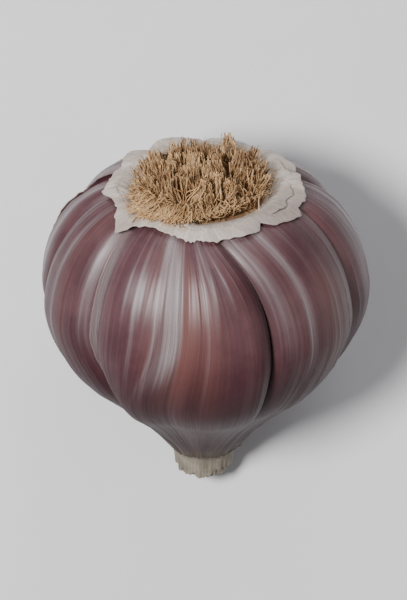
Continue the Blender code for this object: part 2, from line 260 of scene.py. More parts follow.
def wrap_surface(around, along, lift, crease=1.0):
    """World points on the wrapped bulb, lifted off the cloves by so many metres.

    A crease under 1 spans the valleys between cloves more than it follows them.
    """
    number, across = which_clove(around)
    plumpness = blended(PLUMPNESS, number, across)
    slim = 1.0 - blended(SLIMMING, number, across) * waist(along)
    out_r, out_z = follow(OUTER, along)
    in_r, in_z = follow(INNER, along)
    shoulder = 1.0 + 0.022 * bump_curve(around, 82.0, 30.0) * bump_curve(along, 0.20, 0.09)
    out_r = out_r * plumpness * slim * shoulder
    ahead_r, ahead_z = follow(OUTER, along + OUTLINE_STEP)
    back_r, back_z = follow(OUTER, along - OUTLINE_STEP)
    length = np.hypot(ahead_r - back_r, ahead_z - back_z)
    normal_r, normal_z = (ahead_z - back_z) / length, -(ahead_r - back_r) / length
    next_crease = (number + 1) % len(CLOVES)
    depth = np.where(across < 0.0, CREASE_DEPTHS[number], CREASE_DEPTHS[next_crease])
    power = np.where(across < 0.0, SHARP_AFTER[number], SHARP_BEFORE[next_crease])
    ends = smoothstep(0.02, 0.20, along) * (1.0 - 0.5 * smoothstep(0.75, 1.0, along))
    sink = depth * np.abs(across) ** power + ROUNDING * np.sqrt(depth) * across ** 2
    dip = 1.0 - sink * ends * crease
    radius = (out_r + in_r) * 0.5 + (out_r - in_r) * 0.5 * dip + normal_r * lift
    height = (out_z + in_z) * 0.5 + (out_z - in_z) * 0.5 * dip + normal_z * lift
    return around_axis(radius, around + lean(around, along), height)


# ---------------------------------------------------------------- meshes and attributes
def make_piece(name, points, faces, material, replaced=(), fields=None):
    """A smooth mesh piece that rides on the part, with named per-point fields."""
    mesh = bpy.data.meshes.new(name)
    mesh.from_pydata(np.asarray(points).reshape(-1, 3).tolist(), [], faces)
    for field, values in (fields or {}).items():
        attribute = mesh.attributes.new(field, "FLOAT", "POINT")
        attribute.data.foreach_set("value", np.asarray(values, np.float32).ravel())
    mesh.validate()
    mesh.shade_smooth()
    mesh.materials.append(material)
    piece = bpy.data.objects.new(name, mesh)
    bpy.context.scene.collection.objects.link(piece)
    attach(piece, "root")
    if replaced:
        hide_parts(*replaced)
    return piece


def grid_faces(rows, columns, closed=False, start=0):
    """Quads joining a grid of points; closed joins the last column to the first."""
    faces = []
    last = columns if closed else columns - 1
    for row in range(rows - 1):
        for column in range(last):
            beside = (column + 1) % columns
            a = start + row * columns + column
            b = start + row * columns + beside
            faces.append((a, b, b + columns, a + columns))
    return faces


def thicken(piece, thickness, offset):
    solid = piece.modifiers.new("paper thickness", "SOLIDIFY")
    solid.thickness = thickness
    solid.offset = offset
    solid.use_rim = True


# ---------------------------------------------------------------- material nodes
class Nodes:
    """Short calls for building one material's or one group's nodes."""

    def __init__(self, tree):
        self.tree = tree

    def add(self, kind, values=None, **settings):
        node = self.tree.nodes.new(kind)
        for setting, value in settings.items():
            setattr(node, setting, value)
        for socket, value in (values or {}).items():
            self.feed(node.inputs[socket], value)
        return node

    def feed(self, socket, value):
        if isinstance(value, bpy.types.NodeSocket):
            self.tree.links.new(value, socket)
        elif isinstance(value, bpy.types.Node):
            self.tree.links.new(value.outputs[0], socket)
        else:
            socket.default_value = value

    def attribute(self, name):
        return self.add("ShaderNodeAttribute", attribute_name=name).outputs["Fac"]

    def maths(self, operation, first, second=0.0, third=0.0):
        node = self.add("ShaderNodeMath", operation=operation)
        for socket, value in zip(node.inputs, (first, second, third)):
            self.feed(socket, value)
        return node.outputs[0]

    def ramp(self, value, low, high):
        """0 below low, 1 above high, smooth between."""
        node = self.add("ShaderNodeMapRange", {0: value, 1: low, 2: high})
        node.interpolation_type = "SMOOTHSTEP"
        return node.outputs[0]

    def spread(self, value, low, high):
        """A 0-1 value stretched between two numbers."""
        return self.add("ShaderNodeMapRange", {0: value, 3: low, 4: high}).outputs[0]

    def mix(self, amount, first, second, blend="MIX"):
        node = self.add("ShaderNodeMix", data_type="RGBA", blend_type=blend)
        self.feed(node.inputs[0], amount)
        self.feed(node.inputs[6], first)
        self.feed(node.inputs[7], second)
        return node.outputs[2]

    def tint(self, base, mask, strength, over):
        """The base colour, covered by another as far as the mask times the strength."""
        return self.mix(self.maths("MULTIPLY", mask, strength), base, over)

    def noise(self, vector, scale, detail=3.0, rough=0.55, distortion=0.0):
        values = {"Scale": scale, "Detail": detail, "Roughness": rough, "Distortion": distortion}
        node = self.add("ShaderNodeTexNoise", values)
        self.feed(node.inputs["Vector"], vector)
        return node.outputs[0]

    def place_on_bulb(self, around_scale, along_scale, shift=0.0):
        """A vector from the two surface measures, stretched to the grain wanted."""
        across = self.maths("MULTIPLY", self.attribute("around"), around_scale)
        down = self.maths("MULTIPLY", self.attribute("along"), along_scale)
        node = self.add("ShaderNodeCombineXYZ", {0: across, 1: down, 2: shift})
        return node.outputs[0]


def new_material(name):
    material = bpy.data.materials.new(name)
    material.use_nodes = True
    nodes = Nodes(material.node_tree)
    shader = material.node_tree.nodes["Principled BSDF"]
    return material, nodes, shader


def colour(*channels):
    """A display colour of 0-255 channels as linear RGBA."""
    return (*[((channel / 255.0 + 0.055) / 1.055) ** 2.4 for channel in channels], 1.0)


def new_group(name, measure, masks):
    """A group that takes a place and one measure and gives masks, with its two end nodes."""
    tree = bpy.data.node_groups.new(name, "ShaderNodeTree")
    tree.interface.new_socket("Place", in_out="INPUT", socket_type="NodeSocketVector")
    tree.interface.new_socket(measure, in_out="INPUT", socket_type="NodeSocketFloat")
    for mask in masks:
        tree.interface.new_socket(mask, in_out="OUTPUT", socket_type="NodeSocketFloat")
    nodes = Nodes(tree)
    entry, leave = nodes.add("NodeGroupInput"), nodes.add("NodeGroupOutput")
    return nodes, entry.outputs["Place"], entry.outputs[measure], leave


def fibre_group():
    """Long fine fibres of dried skin: a light-and-dark mask and a height."""
    nodes, place, fineness, leave = new_group("dried skin fibres", "Fineness", ("Fibres", "Height"))
    broad = nodes.noise(place, fineness, 2.0, 0.5)
    fine = nodes.noise(place, nodes.maths("MULTIPLY", fineness, 3.7), 3.0, 0.6)
    broad_part = nodes.maths("MULTIPLY", broad, 0.55)
    both = nodes.maths("ADD", broad_part, nodes.maths("MULTIPLY", fine, 0.45))
    nodes.feed(leave.inputs["Fibres"], nodes.ramp(both, 0.34, 0.66))
    nodes.feed(leave.inputs["Height"], both)
    return nodes.tree


def mottle_group():
    """Soft blotches with a few specks."""
    nodes, place, size, leave = new_group("soft mottling", "Size", ("Blotches", "Specks"))
    blotches = nodes.noise(place, size, 4.0, 0.6)
    nodes.feed(leave.inputs["Blotches"], nodes.ramp(blotches, 0.36, 0.64))
    specks = nodes.noise(place, nodes.maths("MULTIPLY", size, 9.0), 2.0, 0.7)
    nodes.feed(leave.inputs["Specks"], nodes.ramp(specks, 0.62, 0.72))
    return nodes.tree


FIBRES = fibre_group()
MOTTLE = mottle_group()


def use_group(nodes, tree, measure, place, value):
    """The two outputs of a shared group placed in this material."""
    node = nodes.add("ShaderNodeGroup", node_tree=tree)
    nodes.feed(node.inputs["Place"], place)
    nodes.feed(node.inputs[measure], value)
    return node.outputs[0], node.outputs[1]


def fibres_in(nodes, place):
    return use_group(nodes, FIBRES, "Fineness", place, 1.0)


def mottle_in(nodes, size):
    """Blotches and specks, from the piece's own coordinates."""
    place = nodes.add("ShaderNodeTexCoord").outputs["Object"]
    return use_group(nodes, MOTTLE, "Size", place, size)


def set_surface(nodes, shader, base, grain, smoothest, roughest):
    """The base colour, and a roughness that follows a 0-1 grain."""
    nodes.feed(shader.inputs["Base Color"], base)
    nodes.feed(shader.inputs["Roughness"], nodes.spread(grain, smoothest, roughest))


def bumped(nodes, shader, height, strength, distance):
    bump = nodes.add("ShaderNodeBump", {"Strength": strength, "Distance": distance})
    nodes.feed(bump.inputs["Height"], height)
    nodes.feed(shader.inputs["Normal"], bump.outputs[0])


def wrapper_material():
    """The thin striped outer skin: mauve and reddish grounds under silvery bands, with painted shade
    in the creases and towards the neck and one painted highlight.
    """
    material, nodes, shader = new_material("wrapper_skin")
    silver, warm = nodes.attribute("silver"), nodes.attribute("warm")
    painted_shade, edge = nodes.attribute("painted_shade"), nodes.attribute("edge")
    fibres, height = fibres_in(nodes, nodes.place_on_bulb(0.9, 2.2))
    fine_fibres, fine_height = fibres_in(nodes, nodes.place_on_bulb(3.1, 2.8, 4.0))
    blotches, specks = mottle_in(nodes, 170.0)
    clouds, _ = mottle_in(nodes, 60.0)
    mauve = nodes.mix(blotches, colour(72, 40, 46), colour(90, 56, 61))
    ground = nodes.mix(warm, mauve, colour(110, 68, 62))
    ground = nodes.mix(nodes.spread(fibres, 0.0, 0.3), ground, colour(58, 29, 37))
    grey = nodes.mix(fine_fibres, colour(112, 99, 101), colour(163, 153, 154))
    # The silver mask also carries a painted highlight on the front left clove.
    skin = nodes.mix(nodes.ramp(silver, 0.04, 1.0), ground, grey)
    skin = nodes.mix(nodes.spread(fine_fibres, 0.0, 0.08), skin, colour(144, 126, 126))
    # Painted shade: dark purple in the creases and towards the neck, partly the skin's own deeper
    # purple there.
    skin = nodes.tint(skin, painted_shade, 0.88, colour(44, 17, 23))
    skin = nodes.tint(skin, specks, 0.2, colour(60, 36, 36))
    skin = nodes.tint(skin, clouds, 0.22, colour(70, 44, 46))
    skin = nodes.tint(skin, edge, 0.4, colour(146, 132, 126))
    # Towards the neck the skin turns greyish beige, its own colour, darkened further as painted shade.
    throat = nodes.mix(fine_fibres, colour(66, 56, 50), colour(100, 88, 76))
    skin = nodes.mix(nodes.ramp(nodes.attribute("along"), 0.88, 0.98), skin, throat)
    set_surface(nodes, shader, skin, fine_fibres, 0.36, 0.52)
    shader.inputs["Specular IOR Level"].default_value = 0.10
    sheen = nodes.maths("MULTIPLY", nodes.ramp(nodes.attribute("along"), 0.62, 0.36), 0.62)
    sheen = nodes.maths("MULTIPLY", sheen, nodes.spread(painted_shade, 1.0, 0.1))
    nodes.feed(shader.inputs["Coat Weight"], sheen)
    shader.inputs["Coat Roughness"].default_value = 0.40
    both = nodes.maths("ADD", height, nodes.maths("MULTIPLY", fine_height, 0.6))
    bumped(nodes, shader, both, 0.35, 0.0003)
    return material


def clove_material():
    """A clove's tight inner skin: glossy red-purple, paler streaks, tan at the ends, and painted shade
    on its inner side.
    """
    material, nodes, shader = new_material("clove_skin")
    fibres, height = fibres_in(nodes, nodes.place_on_bulb(0.55, 1.6, 2.0))
    fine_fibres, fine_height = fibres_in(nodes, nodes.place_on_bulb(2.3, 2.4, 7.0))
    blotches, specks = mottle_in(nodes, 120.0)
    ground = nodes.mix(blotches, colour(76, 30, 41), colour(97, 48, 57))
    ground = nodes.mix(nodes.spread(fibres, 0.0, 0.5), ground, colour(118, 76, 80))
    ground = nodes.mix(nodes.spread(fine_fibres, 0.0, 0.2), ground, colour(60, 22, 32))
    ends = nodes.ramp(nodes.attribute("along"), 0.62, 1.0)
    ground = nodes.tint(ground, ends, 0.55, colour(158, 132, 112))
    root_end = nodes.ramp(nodes.attribute("along"), 0.17, 0.04)
    ground = nodes.tint(ground, root_end, 0.6, colour(176, 150, 122))
    deep = nodes.attribute("painted_shade")
    # Painted shade on the clove's inner side, where it is tucked against its neighbours.
    ground = nodes.tint(ground, deep, 0.85, colour(52, 26, 32))
    ground = nodes.tint(ground, specks, 0.2, colour(70, 40, 44))
    set_surface(nodes, shader, ground, fine_fibres, 0.24, 0.38)
    shader.inputs["Specular IOR Level"].default_value = 0.5
    both = nodes.maths("ADD", height, nodes.maths("MULTIPLY", fine_height, 0.5))
    bumped(nodes, shader, both, 0.35, 0.0003)
    return material


def collar_material():
    """Cream-white torn paper, browner towards the roots, with short radial fibres and painted shade in
    its crumples.
    """
    material, nodes, shader = new_material("collar_paper")
    fibres, height = fibres_in(nodes, nodes.place_on_bulb(0.5, 4.0))
    blotches, specks = mottle_in(nodes, 260.0)
    paper = nodes.mix(blotches, colour(188, 176, 163), colour(216, 206, 194))
    paper = nodes.mix(nodes.spread(fibres, 0.0, 0.45), paper, colour(154, 138, 126))
    stained = nodes.maths("ADD", nodes.attribute("along"), nodes.attribute("stain"))
    inner = nodes.ramp(stained, 0.80, 0.10)
    paper = nodes.tint(paper, inner, 0.9, colour(186, 154, 106))
    # Painted shade in the hollows of the crumpled paper.
    paper = nodes.tint(paper, nodes.attribute("painted_shade"), 0.5, colour(150, 116, 112))
    paper = nodes.tint(paper, specks, 0.35, colour(150, 122, 92))
    paper = nodes.tint(paper, nodes.attribute("thin"), 0.75, colour(136, 120, 116))
    set_surface(nodes, shader, paper, fibres, 0.55, 0.75)
    bumped(nodes, shader, height, 0.6, 0.0004)
    return material


def root_material():
    """Dry root strands: golden tan to straw, darker at the foot."""
    material, nodes, shader = new_material("dry_roots")
    tone, foot = nodes.attribute("tone"), nodes.attribute("along")
    strand = nodes.mix(tone, colour(114, 80, 50), colour(202, 166, 120))
    strand = nodes.mix(nodes.ramp(foot, 0.4, 0.0), strand, colour(118, 80, 48))
    blotches, specks = mottle_in(nodes, 700.0)
    strand = nodes.tint(strand, blotches, 0.4, colour(136, 99, 62))
    set_surface(nodes, shader, strand, specks, 0.6, 0.8)
    bumped(nodes, shader, blotches, 0.4, 0.0002)
    return material


def plate_material():
    """The corky root plate between the roots."""
    material, nodes, shader = new_material("root_plate")
    blotches, specks = mottle_in(nodes, 420.0)
    cork = nodes.mix(blotches, colour(120, 88, 58), colour(168, 134, 92))
    cork = nodes.tint(cork, specks, 0.6, colour(82, 56, 38))
    set_surface(nodes, shader, cork, blotches, 0.7, 0.9)
    bumped(nodes, shader, blotches, 0.8, 0.0006)
    return material


def neck_material():
    """Dried sheath layers round the neck: greyish beige with pinkish veins."""
    material, nodes, shader = new_material("neck_paper")
    fibres, height = fibres_in(nodes, nodes.place_on_bulb(0.35, 2.0))
    blotches, specks = mottle_in(nodes, 300.0)
    paper = nodes.mix(blotches, colour(122, 116, 98), colour(156, 148, 130))
    paper = nodes.mix(nodes.spread(fibres, 0.0, 0.45), paper, colour(108, 86, 80))
    skirt = nodes.ramp(nodes.attribute("along"), 0.6, 0.2)
    paper = nodes.tint(paper, skirt, 0.75, colour(92, 66, 64))
    paper = nodes.tint(paper, nodes.attribute("edge"), 0.35, colour(176, 166, 148))
    paper = nodes.tint(paper, specks, 0.3, colour(104, 84, 66))
    set_surface(nodes, shader, paper, fibres, 0.5, 0.7)
    bumped(nodes, shader, height, 0.6, 0.0004)
    return material


def stalk_material():
    """The cut stalk: pale green-beige with pith rings."""
    material, nodes, shader = new_material("stalk")
    blotches, specks = mottle_in(nodes, 500.0)
    pith = nodes.mix(blotches, colour(128, 124, 94), colour(164, 158, 122))
    waves = nodes.maths("SINE", nodes.maths("MULTIPLY", nodes.attribute("along"), 62.0))
    rings = nodes.ramp(waves, -0.4, 0.9)
    pith = nodes.tint(pith, rings, 0.4, colour(104, 96, 66))
    pith = nodes.tint(pith, specks, 0.5, colour(84, 70, 48))
    set_surface(nodes, shader, pith, blotches, 0.6, 0.8)
    bumped(nodes, shader, blotches, 0.6, 0.0004)
    return material


# ---------------------------------------------------------------- cloves
def signed_power(value, power):
    return np.sign(value) * np.abs(value) ** power


def end_taper(along):
    off_middle = 2.0 * along - 1.0
    bluntness = np.where(off_middle < 0.0, ROOT_END_BLUNTNESS, TIP_BLUNTNESS)
    return np.maximum(1.0 - np.abs(off_middle) ** bluntness, 0.0) ** (1.0 / bluntness)


def make_clove(number, material):
    """One clove, round at the root end and pointed at the neck, with fine long ridges."""
    name, first, last, plumpness, slimming = CLOVES[number][:5]
    rings, segments = 84, 96
    share = 0.5 - 0.5 * np.cos(np.linspace(0.0, math.pi, rings + 2)[1:-1])
    turn = np.linspace(0.0, 2.0 * math.pi, segments, endpoint=False)
    share, turn = np.meshgrid(share, turn, indexing="ij")
    out_r, out_z = follow(OUTER, share)
    in_r, in_z = follow(INNER, share)
    out_r = out_r * plumpness * (1.0 - slimming * waist(share))
    power = 2.0 / CLOVE_SQUARENESS
    across, outward = signed_power(np.cos(turn), power), signed_power(np.sin(turn), power)
    middle, half_width = 0.5 * (first + last), 0.5 * (last - first)
    outside = np.clip(outward, 0.0, 1.0)
    ridges = smooth_noise(across * 5.0 + 11.0 * number, share * 2.3, 21)
    ridges = ridges + 0.5 * smooth_noise(across * 13.0 + 5.0 * number, share * 3.1, 22)
    sink = (-0.10 + 0.09 * ridges) * MM * outside
    radius = (out_r + in_r) * 0.5 + (out_r - in_r) * 0.5 * outward + sink
    height = (out_z + in_z) * 0.5 + (out_z - in_z) * 0.5 * outward
    room = half_width - np.degrees(0.5 * CLOVE_GAP / np.maximum(radius, 1.0 * MM))
    around = middle + across * end_taper(share) * room
    points = around_axis(radius, around + lean(around, share), height)
    tips = np.array([0.0, 1.0])
    tip_radius, tip_height = follow(OUTER, tips)
    tip_points = around_axis(tip_radius, middle + lean(np.full(2, middle), tips), tip_height)
    count = rings * segments
    faces = grid_faces(rings, segments, closed=True)
    faces = [tuple(reversed(face)) for face in faces]
    for column in range(segments):
        beside = (column + 1) % segments
        faces.append((count, column, beside))
        tip = (rings - 1) * segments
        faces.append((count + 1, tip + beside, tip + column))
    # Painted shade: darker towards the clove's inner side, between it and its neighbours.
    deep = np.clip(1.0 - (outward * 0.5 + 0.5) * 1.02, 0.0, 1.0) * 1.6
    fields = {
        "around": np.append(around.ravel(), [middle, middle]),
        "along": np.append(share.ravel(), [0.0, 1.0]),
        "painted_shade": np.append(np.clip(deep, 0.0, 1.0).ravel(), [0.0, 0.0]),
    }
    points = np.concatenate([points.reshape(-1, 3), tip_points])
    points = above_ground(points, CLOVE_REST)
    make_piece(name + "_fine", points, faces, material, [name], fields)


# ---------------------------------------------------------------- wrapper skin
# Silvery bands: angle, half width, strength, where along the bulb they start and end, and
# how far the ends bow sideways.
SILVER_BANDS = (
    (-11.0, 5.2, 0.96, 0.17, 0.54, -190.0),
    (-16.5, 1.4, 0.55, 0.26, 0.66, -120.0),
    (-7.0, 0.8, 0.40, 0.12, 0.34, 0.0),
    (-50.5, 2.6, 0.50, 0.18, 0.52, 0.0),
    (-24.5, 1.0, 0.45, 0.18, 0.52, 0.0),
    (-45.4, 2.4, 0.62, 0.22, 0.58, 0.0),
    (6.0, 3.4, 0.22, 0.14, 0.40, 0.0),
    (12.5, 1.2, 0.30, 0.18, 0.44, 0.0),
    (30.6, 2.7, 0.60, 0.06, 0.48, 0.0),
    (35.0, 3.2, 0.50, 0.04, 0.22, 0.0),
    (39.8, 2.1, 0.70, 0.06, 0.56, 0.0),
    (47.5, 1.2, 0.26, 0.16, 0.56, 0.0),
    (58.0, 3.4, 0.36, 0.06, 0.28, 0.0),
    (68.0, 2.6, 0.30, 0.08, 0.36, 0.0),
    (-67.0, 2.0, 0.42, 0.22, 0.58, 0.0),
    (-80.0, 2.0, 0.50, 0.12, 0.66, 0.0),
    (64.0, 1.2, 0.30, 0.20, 0.56, 0.0),
    (97.0, 2.4, 0.75, 0.12, 0.66, 0.0),
    (-96.0, 3.0, 0.75, 0.12, 0.62, 0.0),
    (122.0, 3.4, 0.80, 0.10, 0.58, 0.0),
    (134.0, 1.8, 0.50, 0.14, 0.58, 0.0),
    (-119.0, 2.8, 0.65, 0.12, 0.58, 0.0),
    (-132.0, 2.0, 0.60, 0.12, 0.58, 0.0),
)
WIDEST_ALONG = 0.33


def silver_and_highlight(around, along):
    """How silvery the skin is here, from the bands and fine random streaks, plus a painted highlight
    on the front left clove.
    """
    wander = 0.9 * smooth_noise(around / 17.0, along * 4.0, 31)
    silver = np.zeros_like(around)
    for number, (angle, half, strength, start, end, bow) in enumerate(SILVER_BANDS):
        centre = angle + bow * (along - WIDEST_ALONG) ** 2
        width = half * (1.0 + 0.3 * smooth_noise(along * 8.0, number + 0.5, 32))
        band = bump_curve(around + wander, centre, width)
        fill = smoothstep(start - 0.08, start + 0.10, along)
        fill = fill * (1.0 - smoothstep(end - 0.16, end + 0.08, along))
        silver = np.maximum(silver, band * strength * fill)
    streaks = smooth_noise(around * 0.62 + 3.0, along * 1.6, 33)
    streaks = streaks + 0.6 * smooth_noise(around * 1.7, along * 2.4, 34)
    faint = 0.24 * np.clip(streaks - 0.15, 0.0, 1.0) * (1.0 - smoothstep(0.45, 0.68, along))
    faint = faint + 0.15 * (1.0 - smoothstep(0.20, 0.36, along)) * bump_curve(around, 0.0, 75.0)
    silver = silver * (0.86 + 0.3 * streaks) + faint
    membrane = 0.30 * bump_curve(around, -40.0, 6.0) * bump_curve(along, 0.60, 0.04)
    # A soft painted highlight on the front left clove, given as extra silver.
    painted_highlight = 0.40 * bump_curve(around, -26.5, 4.6) * bump_curve(along, 0.315, 0.040)
    return np.clip(np.maximum(silver, membrane) + painted_highlight, 0.0, 1.0)


def warm_shade(around, along):
    """Where the skin is reddish brown instead of mauve."""
    front = bump_curve(around, -1.0, 9.5) * smoothstep(0.18, 0.34, along)
    right = bump_curve(around, 53.0, 9.0) * smoothstep(0.24, 0.36, along)
    left = bump_curve(around, -60.0, 6.0) * 0.1
    drift = 0.35 * smooth_noise(around / 9.0, along * 2.6, 41)
    return np.clip(np.maximum(np.maximum(front, right), left) + drift, 0.0, 1.0)


def painted_skin_shade(around, along):
    """Purple painted shade beside deep creases, and towards the neck, where it is partly also the
    skin's own deeper purple.
    """
    # Painted shade on the near side of the deep crease, and beside the left crease lower down.
    deep = bump_curve(around, 22.0, 3.6) * 0.62 * smoothstep(0.16, 0.34, along)
    patch = bump_curve(around, -29.0, 5.0) * 0.30 * smoothstep(0.30, 0.42, along)
    upper = bump_curve(around, 55.0, 7.0) * 0.5 * (1.0 - smoothstep(0.24, 0.34, along))
    left = bump_curve(around, -53.0, 6.0) * 0.8 * smoothstep(0.44, 0.58, along)
    side = bump_curve(around, -64.0, 8.0) * 0.3 * smoothstep(0.22, 0.36, along)
    neck = smoothstep(0.34, 0.64, along)
    streaks = 0.25 * np.clip(smooth_noise(around * 0.45, along * 1.9, 42), 0.0, 1.0)
    shades = np.stack(np.broadcast_arrays(deep, patch, upper, left, side, neck))
    return np.clip(shades.max(axis=0) + streaks, 0.0, 1.0)


def skin_relief(around, along):
    """Long ribs, broad ripples and fine crimps of the dried skin, in metres."""
    ribs = 1.0 - np.abs(smooth_noise(around * 0.36 + 7.0, along * 1.3, 51))
    ribs = np.clip(ribs - 0.72, 0.0, 1.0) / 0.28
    ripples = smooth_noise(around * 0.16, along * 3.2, 52)
    crimps = smooth_noise(around * 1.1, along * 5.0, 53)
    return (0.08 * ribs + 0.16 * ripples + 0.022 * crimps) * MM


def torn_line(place, seed, coarse, fine):
    """A torn edge's wander: long bites and sharp small teeth."""
    bites = smooth_noise(place * 6.0, 0.5, seed)
    teeth = np.abs(smooth_noise(place * 34.0, 1.5, seed + 1)) - 0.4
    return coarse * bites + fine * teeth


# Sheets of outer skin: the node they replace, first and last angle, start and end along
# the bulb, seed, lift and edge curl in millimetres, and how ragged the two sides are.
SKINS = (
    ("skin_front", -47.8, 24.85, 0.10, 0.985, 3, 0.45, 0.35, (0.2, 0.1)),
    ("skin_right", 25.2, 101.0, 0.10, 0.985, 13, 0.42, 0.35, (0.1, 1.0)),
    ("skin_left", -100.0, -45.6, 0.11, 0.98, 23, 0.25, 0.3, (1.0, 0.2)),
    ("skin_back_right", 108.0, 140.0, 0.11, 0.56, 33, 0.45, 0.6, (1.0, 1.0)),
    ("skin_back_left", -142.0, -110.0, 0.11, 0.60, 43, 0.45, 0.6, (1.0, 1.0)),
)
SKIN_ROWS = 170
SKIN_COLUMN_ANGLE = 0.42
MM_PER_DEGREE = 0.40
MM_ALONG = 62.0
CURL_REACH_MM = 0.9
RIM_REACH_MM = 0.16


def make_skin(name, first, last, start, end, seed, lift, curl, ragged, material):
    """One torn sheet of outer skin, with curled, toothed edges."""
    columns = int((last - first) / SKIN_COLUMN_ANGLE) + 2
    rows = SKIN_ROWS
    across, down = np.meshgrid(np.linspace(0.0, 1.0, columns), np.linspace(0.0, 1.0, rows))
    low = end + torn_line(across + seed, seed, 0.030, 0.016)
    along = start + (low - start) * down
    tooth = 2.2 * smoothstep(0.0, 0.25, down)
    place = down * 1.6 + seed
    left = first + tooth * ragged[0] * torn_line(place, seed + 3, 0.9, 0.5)
    right = last + tooth * ragged[1] * torn_line(place, seed + 6, 0.9, 0.5)
    around = left + (right - left) * across
    side = np.minimum(across, 1.0 - across) * (right - left) * MM_PER_DEGREE
    bottom = (1.0 - down) * (low - start) * MM_ALONG
    to_edge = np.minimum(side, bottom)
    side_curl = np.where(across < 0.5, ragged[0], ragged[1])
    uneven = 0.5 + 0.5 * smooth_noise(along * 11.0, around * 0.12, seed + 9)
    turned_up = np.maximum(side_curl * np.exp(-side / CURL_REACH_MM), np.exp(-bottom / CURL_REACH_MM))
    raised = curl * uneven * turned_up * smoothstep(0.20, 0.32, along)
    height = (lift + raised) * MM + skin_relief(around, along)
    points = above_ground(wrap_surface(around, along, height), SKIN_REST)
    fields = {
        "around": around,
        "along": along,
        "silver": silver_and_highlight(around, along),
        "warm": warm_shade(around, along),
        "painted_shade": painted_skin_shade(around, along),
        "edge": np.exp(-to_edge / RIM_REACH_MM),
    }
    faces = grid_faces(rows, columns)
    piece = make_piece(name + "_fine", points, faces, material, [name], fields)
    thicken(piece, SKIN_SHEET, 0.0)


# ---------------------------------------------------------------- root collar
# The collar's reach (share of the way along the bulb) at some angles.
COLLAR_REACH = (
    (-180.0, 0.150), (-150.0, 0.170), (-138.0, 0.195), (-120.0, 0.160), (-100.0, 0.155),
    (-85.0, 0.178), (-70.0, 0.155), (-60.0, 0.160), (-53.0, 0.190), (-48.0, 0.224),
    (-41.0, 0.180), (-30.0, 0.164), (-15.0, 0.180), (5.0, 0.183), (24.0, 0.186),
    (42.0, 0.186), (45.0, 0.160), (48.0, 0.182), (56.0, 0.192), (63.0, 0.194),
    (67.0, 0.172), (76.0, 0.182), (95.0, 0.158), (120.0, 0.185), (150.0, 0.155),
    (180.0, 0.150),
)
COLLAR_START = 0.012
COLLAR_ROOT = 0.06
COLLAR_BRIDGE = 0.3
COLLAR_INNER_RADIUS = 8.6 * MM
COLLAR_LEVEL = -17.15 * MM


def collar_reach(around):
    angles, reaches = zip(*COLLAR_REACH)
    return np.interp(around, angles, reaches)


def make_collar_layer(name, reach_scale, lift, seed, material, replaced):
    """A ring of soft papery flaps from the root plate out over the shoulders."""
    columns, rows = 900, 46
    around = full_turn(columns)
    reach = COLLAR_ROOT + (collar_reach(around) - COLLAR_ROOT) * reach_scale
    x, y = np.cos(np.radians(around)) * 9.0 + 20.0, np.sin(np.radians(around)) * 9.0 + 20.0
    reach = reach + 0.006 * smooth_noise(x * 0.8, y * 0.8, seed)
    reach = reach + 0.0035 * smooth_noise(x * 3.1, y * 3.1, seed + 1)
    down, around = np.meshgrid(np.linspace(0.0, 1.0, rows), around, indexing="ij")
    along = COLLAR_START + (reach - COLLAR_START) * down
    crumple = layered_noise(x * 0.42, y * 0.42 + down * 1.3, seed + 2, 2) * smoothstep(0.15, 0.8, down)
    ridge = smooth_noise(around * 0.30, down * 2.0, seed + 3)
    edge = np.exp(-(1.0 - down) * 8.0)
    height = (lift + 0.32 * crumple + 0.06 * ridge + edge * 0.35 * crumple) * MM
    height = np.maximum(height, (lift - 0.12) * MM)
    points = wrap_surface(around, along, height, COLLAR_BRIDGE)
    overlap = bump_curve(around, 38.0, 28.0) * MM
    inner = around_axis(COLLAR_INNER_RADIUS - 1.9 * overlap, around, COLLAR_LEVEL - 0.9 * overlap)
    pull = np.exp(-down / 0.10)[..., None]
    points = points * (1.0 - pull) + inner * pull
    side_flap = bump_curve(around, 56.0, 26.0)
    thin = smoothstep(0.55, 1.0, down) * (0.25 + 0.4 * side_flap) + 0.6 * side_flap
    thin = np.clip(thin + 0.6 * bump_curve(around, -48.0, 9.0), 0.0, 1.0)
    fields = {
        "around": around,
        "along": down,
        # Painted shade where the paper crumples inward.
        "painted_shade": np.clip(-crumple, 0.0, 1.0) * 0.7,
        "thin": thin,
        "stain": 0.40 - 0.72 * bump_curve(around, -24.0, 34.0) + 0.16 * crumple,
    }
    faces = grid_faces(rows, columns, closed=True)
    piece = make_piece(name, points, faces, material, replaced, fields)
    thicken(piece, COLLAR_SHEET, 0.0)


# ---------------------------------------------------------------- dry roots
STRAND_STEPS = 8
STRAND_SIDES = 5
STRAND_TAPER = 0.35


